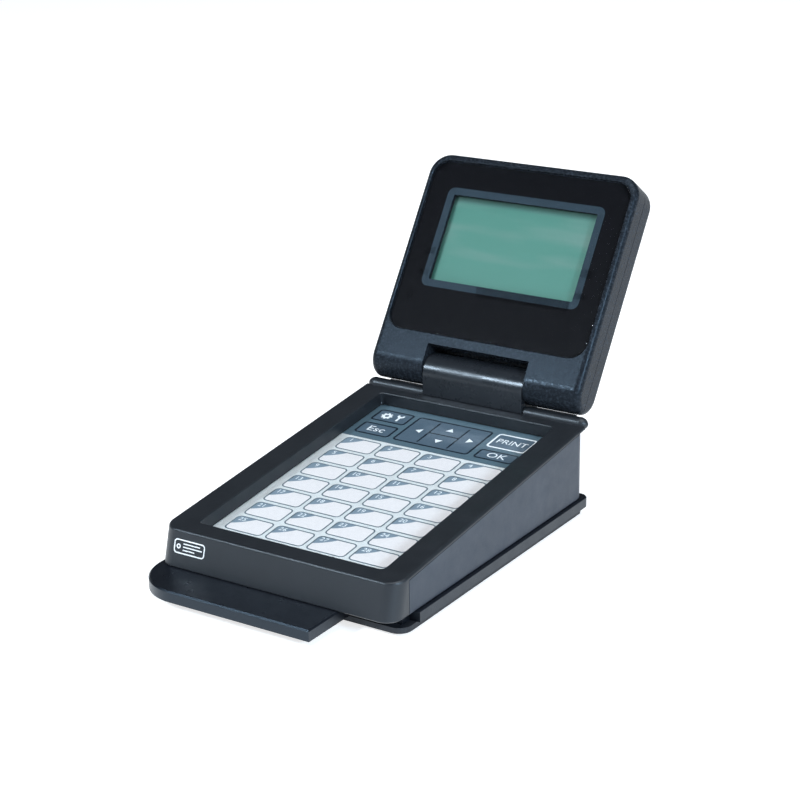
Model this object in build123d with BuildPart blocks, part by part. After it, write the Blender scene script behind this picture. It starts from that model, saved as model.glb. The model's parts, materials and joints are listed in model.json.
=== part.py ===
from build123d import *
import os
from math import cos, radians, sin, tan

os.makedirs("parts", exist_ok=True)

# Desk console of a label maker: a wedge-shaped case with a printed touch key sheet, on a flat
# docking base, and a graphic display that folds on a friction hinge at the rear.
# Millimetres.  +X to the user's right, +Y away from the user, +Z up.
# Origin: centre of the bounding box, on the surface that the feet stand on.

# ---- driving dimensions: console -------------------------------------------------------------
console_w = 100.0            # width of the wedge
console_l = 134.0            # depth of the case
front_h = 13.3               # height of the front edge above the base plate
front_lean = 3.6             # the front face leans back by this much
deck_angle = 6.56            # rise of the deck towards the rear
corner_r = 6.0               # front corners in plan
rear_r = 5.0                 # rear corners in plan
edge_r = 1.0                 # rounding along the top edges
wall = 2.2                   # case wall
floor_t = 2.0                # floor of the lower case
deck_t = 2.5                 # deck thickness
wrap_l = 10.3                # the upper case wraps round the front for this far
rim_t = 1.2                  # the deck is this thick where it lies over the lower case's walls
seam = 0.25                  # open seam between two shells
foot_chamfer = 0.4           # chamfer along the case's lower edges
rim_chamfer = 0.3            # chamfer round the key window and round the lens pocket

# ---- base ------------------------------------------------------------------------------------
foot_t = 1.2
underlay_t = 2.1
plate_t = 4.2
ledge = 1.2                  # the base plate shows this much beside the console
plate_back = 136.2           # rear edge of the plate behind the console's front
plate_corner_r = 3.0
plate_chamfer = 0.5          # chamfer round the plate's top
ledge_start = 15.0           # side ledges begin here
tongue_l = 16.8              # the tongue reaches this far in front of the console
tongue_right = 27.9          # right end of the tongue
tongue_left = -50.4
tongue_r = 19.0              # round corner of the tongue
underlay_front = 6.8         # front edge of the underlay behind the console's front
underlay_short = 1.0         # the underlay stops this much before the plate's rear edge
foot_r = 5.5
plate_top = foot_t + underlay_t + plate_t

# ---- key panel, measured along the sloping deck ------------------------------------------------
window_w = 78.6              # opening in the deck
window_v0 = 7.4
window_v1 = 126.1
window_r = 1.6
sheet_depth = 5.2            # printed sheet below the deck
gasket_t = 0.35
cover_t = 0.3
print_t = 0.2
touch_t = 1.5
support_t = 1.2
panel_w = 82.0
panel_v0 = 5.4
panel_v1 = 127.3

# ---- display lid, measured from the hinge axis ---------------------------------------------------
lid_tilt = 56.3              # open angle above the horizontal
hinge_back = 139.55          # axis behind the console's front
hinge_up = 38.4              # axis above the base plate
lid_w = 94.6
lens_face = 6.5              # front face of the lens in front of the axis
barrel_r = 8.3               # rounded lower edge of the lid
barrel_up = 1.0
lid_top = 87.4
lens_w = 89.4
lens_bottom = 12.0
lens_h = 72.3
lens_t = 1.5
lens_r = 7.0
lid_wall = 2.0
lid_corner_r = 9.0
lid_edge_r = 2.6
notch_top = 7.7              # upper edge of the notch for the hinge housing
notch_back = 4.6             # the lid's rear wall reaches down to here behind the housing
ring_w = 71.2
ring_h = 42.4
ring_bottom = 31.2
ring_band = 3.0
lcd_recess = 1.7

# ---- hinge --------------------------------------------------------------------------------------
housing_w = 45.0
notch_gap = 0.45
housing_r = 7.5
housing_front = 133.4
housing_round_z = 36.2       # centre of the housing's round top above the base plate
housing_sill = 28.55         # underside of the housing, just over the deck
housing_low = 12.0           # lower end of the housing on the rear wall
housing_wall = 1.5
shaft_r = 1.9
shaft_bore = 1.2
running_gap = 0.05
cable_r = 1.0
cable_z = 15.5               # the cable leaves the case at this height over the plate
cable_x = 2.0
housing_screw_xs = (-14.0, 14.0)

# ---- derived ------------------------------------------------------------------------------------
lens_back = lens_face - lens_t
lid_thick = 2 * barrel_r
lid_back = lens_face - lid_thick
barrel_w0 = lens_face - barrel_r
parting = barrel_w0
tilt = radians(lid_tilt)
slope = radians(deck_angle)
reach = (hinge_back + (lid_top - lid_edge_r) * cos(tilt)
         - (lid_back + lid_edge_r) * sin(tilt) + lid_edge_r)
console_y = (tongue_l - reach) / 2
axis_y = console_y + hinge_back
axis_z = plate_top + hinge_up

deck = Plane(origin=(0, console_y + front_lean, plate_top + front_h),
             x_dir=(1, 0, 0), z_dir=(0, -sin(slope), cos(slope)))
lid = Plane(origin=(0, axis_y, axis_z), x_dir=(1, 0, 0), z_dir=(0, -sin(tilt), cos(tilt)))
half = console_w / 2
low = (Align.CENTER, Align.CENTER, Align.MIN)


def side(y, z):
    """A point of a side profile: distance behind the console's front, height over the plate."""
    return (console_y + y, plate_top + z)


def deck_z(y, below=0.0):
    """Height over the plate of the deck, or of a surface parallel to it and lower."""
    return front_h + (y - front_lean) * tan(slope) - below / cos(slope)


# The lid's side profiles are drawn with x up the lid and y towards its front.
lid_side = Plane(origin=(0, axis_y, axis_z), x_dir=(0, cos(tilt), sin(tilt)), z_dir=(1, 0, 0))


def lid_profile(inset, start_x):
    """Side profile of the lid at start_x, shrunk by a wall thickness."""
    front = lens_face - inset
    back = lid_back + inset
    with BuildSketch(lid_side.offset(start_x)) as profile:
        with BuildLine():
            Polyline((lid_top - inset, front), (barrel_up, front))
            ThreePointArc((barrel_up, front), (barrel_up - barrel_r + inset, barrel_w0), (barrel_up, back))
            Polyline((barrel_up, back), (lid_top - inset, back), (lid_top - inset, front))
        make_face()
    return profile.sketch


def save(part, name):
    """Label a finished piece and write it."""
    part.label = name
    export_step(part, f"parts/{name}.step")


# ==== base ========================================================================================
with BuildPart() as base_plate:
    with BuildSketch(Plane.XY.offset(plate_top - plate_t)):
        with BuildLine():
            Polyline((tongue_left + tongue_r, console_y - tongue_l), (tongue_right, console_y - tongue_l),
                     (tongue_right, console_y + wrap_l), (half - 3, console_y + wrap_l),
                     (half - 3, console_y + ledge_start), (half + ledge, console_y + ledge_start),
                     (half + ledge, console_y + plate_back), (-half - ledge, console_y + plate_back),
                     (-half - ledge, console_y + ledge_start), (tongue_left, console_y + ledge_start - 2),
                     (tongue_left, console_y - tongue_l + tongue_r))
            RadiusArc((tongue_left, console_y - tongue_l + tongue_r),
                      (tongue_left + tongue_r, console_y - tongue_l), -tongue_r)
        make_face()
        fillet(vertices().group_by(Axis.Y)[-1], plate_corner_r)
    extrude(amount=plate_t)
    chamfer(base_plate.faces().sort_by(Axis.Z)[-1].edges(), plate_chamfer)
    screw_spots = [(x, console_y + y) for x in (-30, 30) for y in (40, 112)]
    with Locations(*[(x, y, plate_top) for x, y in screw_spots]):
        Hole(radius=1.6)
save(base_plate.part, "base_plate")

with BuildPart() as base_underlay:
    with BuildSketch(Plane.XY.offset(foot_t)):
        with Locations((0, console_y + (underlay_front + plate_back - underlay_short) / 2)):
            RectangleRounded(console_w, plate_back - underlay_short - underlay_front, rear_r)
    extrude(amount=underlay_t)
    with Locations(*[(x, y, foot_t) for x, y in screw_spots]):
        Cylinder(3.2, underlay_t, align=low, mode=Mode.SUBTRACT)
save(base_underlay.part, "base_underlay")

foot_spots = [(x, console_y + y) for x in (-41, 41) for y in (17, 126)]
with BuildPart() as rubber_feet:
    with BuildSketch():
        with Locations(*foot_spots):
            Circle(foot_r)
    extrude(amount=foot_t)
    fillet(rubber_feet.edges().group_by(Axis.Z)[0], 0.4)
save(rubber_feet.part, "rubber_feet")

with BuildPart() as base_screws:
    with Locations(*[(x, y, foot_t + 0.5) for x, y in screw_spots]):
        Cylinder(2.8, underlay_t - 0.5, align=low)
    with Locations(*[(x, y, foot_t + underlay_t) for x, y in screw_spots]):
        Cylinder(1.4, plate_t + 4.6, align=low)
    with Locations(*[(x, y, foot_t + 0.5) for x, y in screw_spots]):
        Box(3.2, 0.7, 0.8, align=low, mode=Mode.SUBTRACT)
        Box(0.7, 3.2, 0.8, align=low, mode=Mode.SUBTRACT)
save(base_screws.part, "base_screws")

# ==== console case ================================================================================
with BuildPart() as envelope:         # outer form of the upper case
    with BuildSketch(Plane.YZ.offset(-half)):
        with BuildLine():
            Polyline(side(0, 0), side(front_lean, front_h), side(console_l, deck_z(console_l)),
                     side(console_l, 0), close=True)
        make_face()
    extrude(amount=console_w)
    fillet(envelope.edges().filter_by_position(Axis.Y, console_y + 0.5, console_y + 3.0), corner_r)
    fillet(envelope.faces().sort_by(Axis.Z)[-1].edges().sort_by(Axis.Y)[:-1], edge_r)
    chamfer(envelope.faces().sort_by(Axis.Z)[0].edges().sort_by(Axis.Y)[:-1], foot_chamfer)

with BuildPart() as upper_room:      # space inside the upper case
    with BuildSketch(Plane.YZ.offset(-half + wall)):
        with BuildLine():
            Polyline(side(wall, -1), side(front_lean + wall, deck_z(front_lean + wall, deck_t)),
                     side(console_l + 1, deck_z(console_l + 1, deck_t)), side(console_l + 1, -1),
                     close=True)
        make_face()
    extrude(amount=console_w - 2 * wall)
    fillet(upper_room.edges().filter_by_position(Axis.Y, console_y + 2.3, console_y + 5.5),
           corner_r - wall)

with BuildPart() as lower_room:      # space inside the lower case
    with BuildSketch(Plane.YZ.offset(-half + wall)):
        with BuildLine():
            Polyline(side(0, floor_t), side(0, 40), side(console_l - wall, 40),
                     side(console_l - wall, floor_t), close=True)
        make_face()
    extrude(amount=console_w - 2 * wall)
    fillet(lower_room.edges().filter_by(Axis.Z).group_by(Axis.Y)[-1], rear_r - wall)

with BuildPart() as lower_zone:      # where the lower case's walls stand
    with BuildSketch(Plane.YZ.offset(-half - 1)):
        with BuildLine():
            Polyline(side(wrap_l, -1), side(wrap_l, deck_z(wrap_l, rim_t)),
                     side(console_l + 2, deck_z(console_l + 2, rim_t)), side(console_l + 2, -1),
                     close=True)
        make_face()
    extrude(amount=console_w + 2)
    add(lower_room.part, mode=Mode.SUBTRACT)

boss_spots = [(x, console_y + y) for x in (-44.3, 44.3) for y in (16, 116)]
roll_r = 2.5                 # the roll along the rear of the deck
roll_y = 136.4
roll_z = 28.15
roll_taper = 4.0             # the roll's ends are elliptical over this length
roll_plane = Plane(origin=(0, console_y + roll_y, plate_top + roll_z), x_dir=(1, 0, 0), z_dir=(0, -1, 0))
with BuildPart() as rear_roll:
    with BuildSketch(roll_plane):
        with BuildLine():
            full = half - roll_taper
            bulge = roll_taper * sin(radians(45))
            ThreePointArc((-half, 0), (-full - bulge, roll_r * sin(radians(45))), (-full, roll_r))
            Line((-full, roll_r), (full, roll_r))
            ThreePointArc((full, roll_r), (full + bulge, roll_r * sin(radians(45))), (half, 0))
            Line((half, 0), (-half, 0))
        make_face()
    revolve(axis=Axis(roll_plane.origin, (1, 0, 0)))

apron_back = 141.4           # a low apron behind the roll closes the gap under the lid
apron_top = 29.3
apron_t = 1.6
apron_half = 42.5
with BuildPart() as top_case:
    add(envelope.part)
    add(upper_room.part, mode=Mode.SUBTRACT)
    add(lower_zone.part, mode=Mode.SUBTRACT)
    # the deck runs on into the roll
    with BuildSketch(Plane.YZ.offset(-half + roll_taper / 2)):
        with BuildLine():
            Polyline(side(console_l - 1, deck_z(console_l - 1)), side(roll_y, deck_z(roll_y)),
                     side(roll_y, deck_z(roll_y, rim_t)), side(console_l - 1, deck_z(console_l - 1, rim_t)),
                     close=True)
        make_face()
    extrude(amount=console_w - roll_taper)
    add(rear_roll.part)
    with Locations((0, console_y + roll_y, plate_top + apron_top)):
        Box(2 * apron_half, apron_back - roll_y, apron_t, align=(Align.CENTER, Align.MIN, Align.MAX))
    # room for the hinge housing
    room = housing_w + 0.4
    with Locations((0, console_y + housing_front - 0.1, plate_top + deck_z(console_l) + 0.02)):
        Box(room, 20, 20, align=(Align.CENTER, Align.MIN, Align.MIN), mode=Mode.SUBTRACT)
    with Locations((0, console_y + console_l + 0.05, plate_top + 20)):
        Box(room, 20, 20, align=(Align.CENTER, Align.MIN, Align.MIN), mode=Mode.SUBTRACT)
    # small pips beside the housing
    pip_x = housing_w / 2 + 1.7
    with Locations(*[(x, console_y + 132.4, plate_top + 27.5) for x in (-pip_x, pip_x)]):
        Cylinder(0.6, 1.3, align=low)
    # opening for the key panel, with a skirt down to the gasket
    with BuildSketch(deck.offset(-sheet_depth + gasket_t)):
        with Locations((0, (window_v0 + window_v1) / 2)):
            Rectangle(window_w + 3, window_v1 - window_v0 + 3)
    extrude(amount=sheet_depth - gasket_t - 1.0)
    with BuildSketch(deck.offset(-20)):
        with Locations((0, (window_v0 + window_v1) / 2)):
            RectangleRounded(window_w, window_v1 - window_v0, window_r)
    extrude(amount=24, mode=Mode.SUBTRACT)
    with BuildSketch(deck.offset(-rim_chamfer)):
        with Locations((0, (window_v0 + window_v1) / 2)):
            RectangleRounded(window_w, window_v1 - window_v0, window_r)
    extrude(amount=rim_chamfer, taper=-45, mode=Mode.SUBTRACT)
    # screw bosses under the deck
    for x, y in boss_spots:
        boss_top = deck_z(y - console_y, deck_t) + 0.6
        with Locations((x, y, plate_top + 2.0)):
            Cylinder(2.7, boss_top - 2.0, align=low)
            Cylinder(1.1, boss_top - 4.0, align=low, mode=Mode.SUBTRACT)
save(top_case.part, "top_case")

port_x = -20.0
board_z = plate_top + 6.0
board_t = 1.6
rib_x = 38.0
rib_y0 = 14.0
rib_y1 = 122.0
stack = sheet_depth + cover_t + print_t + touch_t + support_t + 0.02     # depth of the panel's back
stand_spots = [(x, console_y + y) for x in (-31, 31) for y in (64, 118)]
with BuildPart() as bottom_case:
    with BuildSketch(Plane.YZ.offset(-half)):
        with BuildLine():
            Polyline(side(wrap_l + seam, 0), side(wrap_l + seam, deck_z(wrap_l + seam, rim_t + seam)),
                     side(console_l, deck_z(console_l, rim_t + seam)), side(console_l, 0), close=True)
        make_face()
    extrude(amount=console_w)
    fillet(bottom_case.edges().filter_by(Axis.Z).group_by(Axis.Y)[-1], rear_r)
    chamfer(bottom_case.faces().sort_by(Axis.Z)[0].edges().filter_by(Axis.Y), foot_chamfer)
    add(lower_room.part, mode=Mode.SUBTRACT)
    # the floor runs on to the front wall of the upper case
    with BuildSketch(Plane.XY.offset(plate_top)):
        with Locations((0, console_y + (wall + 0.9 + wrap_l + 3) / 2)):
            Rectangle(console_w - 2 * wall - 6.0, wrap_l + 3 - wall - 0.9)
    extrude(amount=floor_t)
    # ribs that carry the support plate, cut to the slope of the deck
    for x in (-rib_x, rib_x):
        with BuildSketch(Plane.YZ.offset(x - 0.8)):
            with BuildLine():
                Polyline(side(rib_y0, floor_t - 0.5), side(rib_y0, deck_z(rib_y0, stack)),
                         side(rib_y1, deck_z(rib_y1, stack)), side(rib_y1, floor_t - 0.5), close=True)
            make_face()
        extrude(amount=1.6)
    # stand-offs for the board
    with Locations(*[(x, y, plate_top + floor_t - 0.5) for x, y in stand_spots]):
        Cylinder(2.6, 4.5, align=low)
    with Locations(*[(x, y, plate_top + floor_t) for x, y in stand_spots]):
        Cylinder(0.95, 5, align=low, mode=Mode.SUBTRACT)
    # bosses for the base screws and holes for the case screws
    with Locations(*[(x, y, plate_top + floor_t - 0.5) for x, y in screw_spots]):
        Cylinder(3.0, 3.9, align=low)
    with Locations(*[(x, y, plate_top) for x, y in screw_spots]):
        Cylinder(1.45, 4.8, align=low, mode=Mode.SUBTRACT)
    with Locations(*[(x, y, plate_top) for x, y in boss_spots]):
        Cylinder(2.35, 1.1, align=low, mode=Mode.SUBTRACT)
        Cylinder(1.2, 5, align=low, mode=Mode.SUBTRACT)
    # socket opening, cable opening, screw holes and ventilation slots in the rear wall
    with Locations((port_x, console_y + console_l, board_z + board_t + 2.2)):
        Box(9.2, 8, 5.2, mode=Mode.SUBTRACT)
    with Locations((cable_x, console_y + console_l, plate_top + cable_z)):
        Cylinder(cable_r + 0.7, 8, rotation=(90, 0, 0), mode=Mode.SUBTRACT)
    with Locations(*[(x, console_y + console_l, plate_top + cable_z) for x in housing_screw_xs]):
        Cylinder(1.1, 8, rotation=(90, 0, 0), mode=Mode.SUBTRACT)
    for step in range(5):
        with Locations((26 + 3.6 * step, console_y + console_l, plate_top + 11)):
            Box(1.4, 8, 8, mode=Mode.SUBTRACT)
save(bottom_case.part, "bottom_case")

with BuildPart() as case_screws:
    with Locations(*[(x, y, plate_top + 0.1) for x, y in boss_spots]):
        Cylinder(2.15, 1.0, align=low)
        Cylinder(1.05, 7.0, align=low)
    with Locations(*[(x, y, plate_top + 0.1) for x, y in boss_spots]):
        Box(2.4, 0.6, 0.6, align=low, mode=Mode.SUBTRACT)
        Box(0.6, 2.4, 0.6, align=low, mode=Mode.SUBTRACT)
save(case_screws.part, "case_screws")

# ==== key panel ===================================================================================
panel_mid = (panel_v0 + panel_v1) / 2
panel_h = panel_v1 - panel_v0


def panel_layer(depth, width, height, radius):
    """Outline of one layer of the key panel, at its depth below the deck."""
    with BuildSketch(deck.offset(-depth)) as layer:
        with Locations((0, panel_mid)):
            RectangleRounded(width, height, radius)
    return layer.sketch


with BuildPart() as panel_gasket:
    extrude(panel_layer(sheet_depth, window_w + 3.0, window_v1 - window_v0 + 3.0, 1.0), amount=gasket_t)
    with BuildSketch(deck.offset(-sheet_depth)):
        with Locations((0, (window_v0 + window_v1) / 2)):
            RectangleRounded(window_w, window_v1 - window_v0, window_r)
    extrude(amount=gasket_t, mode=Mode.SUBTRACT)
save(panel_gasket.part, "panel_gasket")

with BuildPart() as cover_sheet:
    extrude(panel_layer(sheet_depth + cover_t, panel_w, panel_h, 1.5), amount=cover_t)
save(cover_sheet.part, "cover_sheet")

with BuildPart() as key_sheet:
    extrude(panel_layer(sheet_depth + cover_t + print_t, panel_w - 0.6, panel_h - 0.6, 1.5), amount=print_t)
save(key_sheet.part, "key_sheet")

with BuildPart() as touch_panel:
    extrude(panel_layer(sheet_depth + cover_t + print_t + touch_t, panel_w, panel_h, 0.8), amount=touch_t)
save(touch_panel.part, "touch_panel")

with BuildPart() as support_plate:
    extrude(panel_layer(sheet_depth + cover_t + print_t + touch_t + support_t, panel_w, panel_h, 0.8),
            amount=support_t)
    with BuildSketch(deck.offset(-sheet_depth - 5)):
        with Locations(*[(x, v) for x in (-22, 22) for v in (35, 66, 97)]):
            RectangleRounded(24, 20, 3)
    extrude(amount=4, mode=Mode.SUBTRACT)
save(support_plate.part, "support_plate")

# ==== electronics in the console ====================================================================
with BuildPart() as main_board:
    with BuildSketch(Plane.XY.offset(board_z)):
        with Locations((0, console_y + 93)):
            RectangleRounded(70, 66, 1.5)
        with Locations(*stand_spots):
            Circle(1.3, mode=Mode.SUBTRACT)
        with Locations(*screw_spots):
            Circle(3.4, mode=Mode.SUBTRACT)
    extrude(amount=board_t)
save(main_board.part, "main_board")

chip_top = board_z + board_t
with BuildPart() as board_chips:
    with Locations((-6, console_y + 88, chip_top)):
        Box(14, 14, 1.4, align=low)
    with Locations((16, console_y + 96, chip_top)):
        Box(10, 6, 1.1, align=low)
    with Locations((16, console_y + 80, chip_top)):
        Box(7, 5, 1.1, align=low)
    with Locations((-24, console_y + 76, chip_top)):
        Cylinder(2.5, 3.0, align=low)
    with Locations(*[(26, console_y + 74 + 3.2 * k, chip_top) for k in range(6)]):
        Box(2.0, 1.2, 0.7, align=low)
save(board_chips.part, "board_chips")

with BuildPart() as host_socket:
    with Locations((port_x, console_y + console_l - 14.2, chip_top)):
        Box(8.6, 14.0, 4.4, align=(Align.CENTER, Align.MIN, Align.MIN))
    with Locations((port_x, console_y + console_l - 11.2, chip_top + 0.6)):
        Box(7.4, 12, 3.2, align=(Align.CENTER, Align.MIN, Align.MIN), mode=Mode.SUBTRACT)
    with Locations((port_x, console_y + console_l - 12.2, chip_top + 1.8)):
        Box(5.2, 9, 0.8, align=(Align.CENTER, Align.MIN, Align.MIN))
save(host_socket.part, "host_socket")

with BuildPart() as buzzer:
    with Locations((-26, console_y + 96, chip_top)):
        Cylinder(5.0, 3.4, align=low)
    with Locations((-26, console_y + 96, chip_top + 2.8)):
        Cylinder(0.9, 2, align=low, mode=Mode.SUBTRACT)
save(buzzer.part, "buzzer")

with BuildPart() as board_screws:
    with Locations(*[(x, y, chip_top) for x, y in stand_spots]):
        Cylinder(1.9, 1.1, align=low)
    with Locations(*[(x, y, chip_top - 4.8) for x, y in stand_spots]):
        Cylinder(0.9, 4.8, align=low)
    with Locations(*[(x, y, chip_top + 0.6) for x, y in stand_spots]):
        Box(2.2, 0.5, 1, align=low, mode=Mode.SUBTRACT)
        Box(0.5, 2.2, 1, align=low, mode=Mode.SUBTRACT)
save(board_screws.part, "board_screws")

with BuildPart() as touch_flex:
    with BuildSketch(Plane.YZ.offset(-11.5)):
        with BuildLine():
            tail_z = deck_z(130.85, 6.6)
            Polyline(side(130.85, tail_z + 0.2), side(131.35, tail_z + 0.2), side(131.35, 12.4),
                     side(122.2, 7.62), side(114.0, 7.62), side(114.0, 7.87), side(122.1, 7.87),
                     side(131.1, 12.6), side(131.1, tail_z), side(130.85, tail_z), close=True)
        make_face()
    extrude(amount=11)
save(touch_flex.part, "touch_flex")

# ==== hinge =======================================================================================
def housing_outline(inset, start_x):
    """Side profile of the hinge housing at start_x, shrunk by a wall thickness."""
    front = housing_front + inset
    back = housing_front + 2 * housing_r - inset
    foot_y = console_l + 0.15 + inset
    with BuildSketch(Plane.YZ.offset(start_x)) as outline:
        with BuildLine():
            Polyline(side(foot_y, housing_low + inset), side(foot_y, housing_sill + 1.6 * inset),
                     side(front, housing_sill + 1.6 * inset), side(front, housing_round_z))
            ThreePointArc(side(front, housing_round_z),
                          side(housing_front + housing_r, housing_round_z + housing_r - inset),
                          side(back, housing_round_z))
            Polyline(side(back, housing_round_z), side(142.5 - inset, housing_low + 5),
                     side(139.5 - inset, housing_low + inset), side(foot_y, housing_low + inset))
        make_face()
    return outline.sketch


with BuildPart() as hinge_housing:
    extrude(housing_outline(0, -housing_w / 2), amount=housing_w)
    extrude(housing_outline(housing_wall, -housing_w / 2 + 2), amount=housing_w - 4, mode=Mode.SUBTRACT)
    with Locations((0, axis_y, axis_z)):
        Cylinder(shaft_r + 0.5, housing_w + 2, rotation=(0, 90, 0), mode=Mode.SUBTRACT)
    with Locations((cable_x, console_y + console_l, plate_top + cable_z)):
        Cylinder(cable_r + 0.7, 8, rotation=(90, 0, 0), mode=Mode.SUBTRACT)
    with Locations(*[(x, console_y + console_l, plate_top + cable_z) for x in housing_screw_xs]):
        Cylinder(1.0, 8, rotation=(90, 0, 0), mode=Mode.SUBTRACT)
save(hinge_housing.part, "hinge_housing")

with BuildPart() as housing_screws:
    for x in housing_screw_xs:
        with Locations((x, console_y + console_l - wall - 1.1, plate_top + cable_z)):
            Cylinder(1.8, 1.1, rotation=(-90, 0, 0), align=low)
            Cylinder(0.95, 5.2, rotation=(-90, 0, 0), align=low)
save(housing_screws.part, "housing_screws")

bracket_x = 15.0
bracket_t = 3.0
for sign, name in ((-1, "left"), (1, "right")):
    inner = min(sign * bracket_x, sign * (bracket_x - bracket_t))
    with BuildPart() as bracket:
        with BuildSketch(Plane.YZ.offset(inner)):
            with Locations((axis_y, axis_z)):
                Circle(3.2)
            with Locations((console_y + console_l + 0.15 + housing_wall, axis_z - 14)):
                Rectangle(5.6, 14, align=(Align.MIN, Align.MIN))
            with Locations((axis_y, axis_z)):
                Circle(shaft_r + running_gap, mode=Mode.SUBTRACT)
        extrude(amount=bracket_t)
    save(bracket.part, f"hinge_bracket_{name}")

    with BuildPart() as washers:
        for start in (bracket_x - bracket_t - 0.8, bracket_x):
            with BuildSketch(Plane.YZ.offset(min(sign * start, sign * (start + 0.8)))):
                with Locations((axis_y, axis_z)):
                    Circle(3.0)
                    Circle(shaft_r + running_gap, mode=Mode.SUBTRACT)
            extrude(amount=0.8)
    save(washers.part, f"friction_washers_{name}")

    nut_start = bracket_x - bracket_t - 0.8 - 0.3
    with BuildPart() as nut:
        with BuildSketch(Plane.YZ.offset(min(sign * nut_start, sign * (nut_start - 2.4)))):
            with Locations((axis_y, axis_z)):
                RegularPolygon(3.1, 6)
                Circle(shaft_r, mode=Mode.SUBTRACT)
        extrude(amount=2.4)
    save(nut.part, f"hinge_nut_{name}")

    # the moving half: hollow shaft, flange and the leaf that is screwed into the lid
    shaft_in = nut_start - 2.4
    flange_x = housing_w / 2 + notch_gap + lid_wall + 0.2
    leaf_w0 = lid_back + lid_wall
    with BuildPart() as arm:
        with BuildSketch(Plane.YZ.offset(min(sign * shaft_in, sign * (flange_x + 1.6)))):
            with Locations((axis_y, axis_z)):
                Circle(shaft_r)
        extrude(amount=flange_x + 1.6 - shaft_in)
        with BuildSketch(lid_side.offset(min(sign * flange_x, sign * (flange_x + 1.6)))):
            Circle(3.9)
            with BuildLine():
                Polyline((1.5, 0), (7.5, 0), (7.5, leaf_w0), (1.5, leaf_w0), close=True)
            make_face()
        extrude(amount=1.6)
        with BuildSketch(lid.offset(leaf_w0)):
            with Locations((sign * (flange_x + 6.4), 10.0)):
                RectangleRounded(12.8, 17, 1.5)
            with Locations((sign * (flange_x + 9.0), 14.5), (sign * (flange_x + 9.0), 5.5)):
                Circle(1.3, mode=Mode.SUBTRACT)
        extrude(amount=1.6)
        with Locations((0, axis_y, axis_z)):
            Cylinder(shaft_bore, 70, rotation=(0, 90, 0), mode=Mode.SUBTRACT)
    save(arm.part, f"hinge_arm_{name}")

# ==== display lid =================================================================================
with BuildPart() as lid_body:        # outer form of the closed lid
    extrude(lid_profile(0, -lid_w / 2), amount=lid_w)
    top_edges = lid_body.edges().filter_by(lambda e: e.length < lid_thick + 1).filter_by(
        lambda e: abs(lid.to_local_coords(e.center()).Y - lid_top) < 0.2)
    fillet(top_edges, lid_corner_r)
    front_face = lid_body.faces().sort_by_distance(lid.origin + lid.z_dir * 40 + lid.y_dir * 40)[0]
    # one rounding runs on round the barrel's ends to the back, because the edges are tangent
    fillet(front_face.edges().filter_by(
        lambda e: lid.to_local_coords(e.center()).Y > barrel_up + 0.5), lid_edge_r)

with BuildPart() as lid_room:        # space inside the lid
    extrude(lid_profile(lid_wall, -lid_w / 2 + lid_wall), amount=lid_w - 2 * lid_wall)
    inner_edges = lid_room.edges().filter_by(lambda e: e.length < lid_thick).filter_by(
        lambda e: abs(lid.to_local_coords(e.center()).Y - lid_top + lid_wall) < 0.2)
    fillet(inner_edges, lid_corner_r - lid_wall)
    web_top = notch_top + lid_wall
    with BuildSketch(lid.offset(-20)):
        with Locations((0, web_top - 20)):
            Rectangle(housing_w + 2 * notch_gap + 2 * lid_wall, 40)
    extrude(amount=40, mode=Mode.SUBTRACT)

lens_mid = lens_bottom + lens_h / 2
ring_mid = ring_bottom + ring_h / 2
pocket_floor = lens_back - 0.2
lid_boss_spots = [(x, p) for x in (-41.4, 41.4) for p in (17.0, 78.5)]
boss_end = lid_back + lid_wall + 1.0
with BuildPart() as display_front_shell:
    add(lid_body.part)
    add(lid_room.part, mode=Mode.SUBTRACT)
    # keep what lies in front of the parting plane
    with BuildSketch(lid.offset(parting)):
        with Locations((0, 40)):
            Rectangle(120, 140)
    extrude(amount=-30, mode=Mode.SUBTRACT)
    # floor under the lens, with the pocket that the lens is glued into
    with BuildSketch(lid.offset(pocket_floor - 1.5)):
        with Locations((0, (web_top + lid_top) / 2 - 0.5)):
            RectangleRounded(lid_w - lid_wall, lid_top - web_top - lid_wall, lid_corner_r - 1)
    extrude(amount=1.5)
    with BuildSketch(lid.offset(pocket_floor)):
        with Locations((0, lens_mid)):
            RectangleRounded(lens_w + 0.3, lens_h + 0.3, lens_r + 0.15)
    extrude(amount=5, mode=Mode.SUBTRACT)
    with BuildSketch(lid.offset(lens_face - rim_chamfer)):
        with Locations((0, lens_mid)):
            RectangleRounded(lens_w + 0.3, lens_h + 0.3, lens_r + 0.15)
    extrude(amount=rim_chamfer, taper=-45, mode=Mode.SUBTRACT)
    with BuildSketch(lid.offset(pocket_floor - 3)):
        with Locations((0, ring_mid)):
            RectangleRounded(ring_w - 2 * ring_band + 0.4, ring_h - 2 * ring_band + 0.4, 0.8)
    extrude(amount=5, mode=Mode.SUBTRACT)
    # notch for the hinge housing, and bores for the shafts
    with BuildSketch(lid.offset(-20)):
        with Locations((0, notch_top - 20)):
            Rectangle(housing_w + 2 * notch_gap, 40)
    extrude(amount=40, mode=Mode.SUBTRACT)
    with Locations((0, axis_y, axis_z)):
        Cylinder(shaft_r + 0.15, 2 * flange_x, rotation=(0, 90, 0), mode=Mode.SUBTRACT)
    # screw bosses
    with BuildSketch(lid.offset(boss_end)):
        with Locations(*lid_boss_spots):
            Circle(2.4)
    extrude(amount=pocket_floor - 1.4 - boss_end)
    with BuildSketch(lid.offset(boss_end)):
        with Locations(*lid_boss_spots):
            Circle(0.95)
    extrude(amount=8, mode=Mode.SUBTRACT)
save(display_front_shell.part, "display_front_shell")

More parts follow.
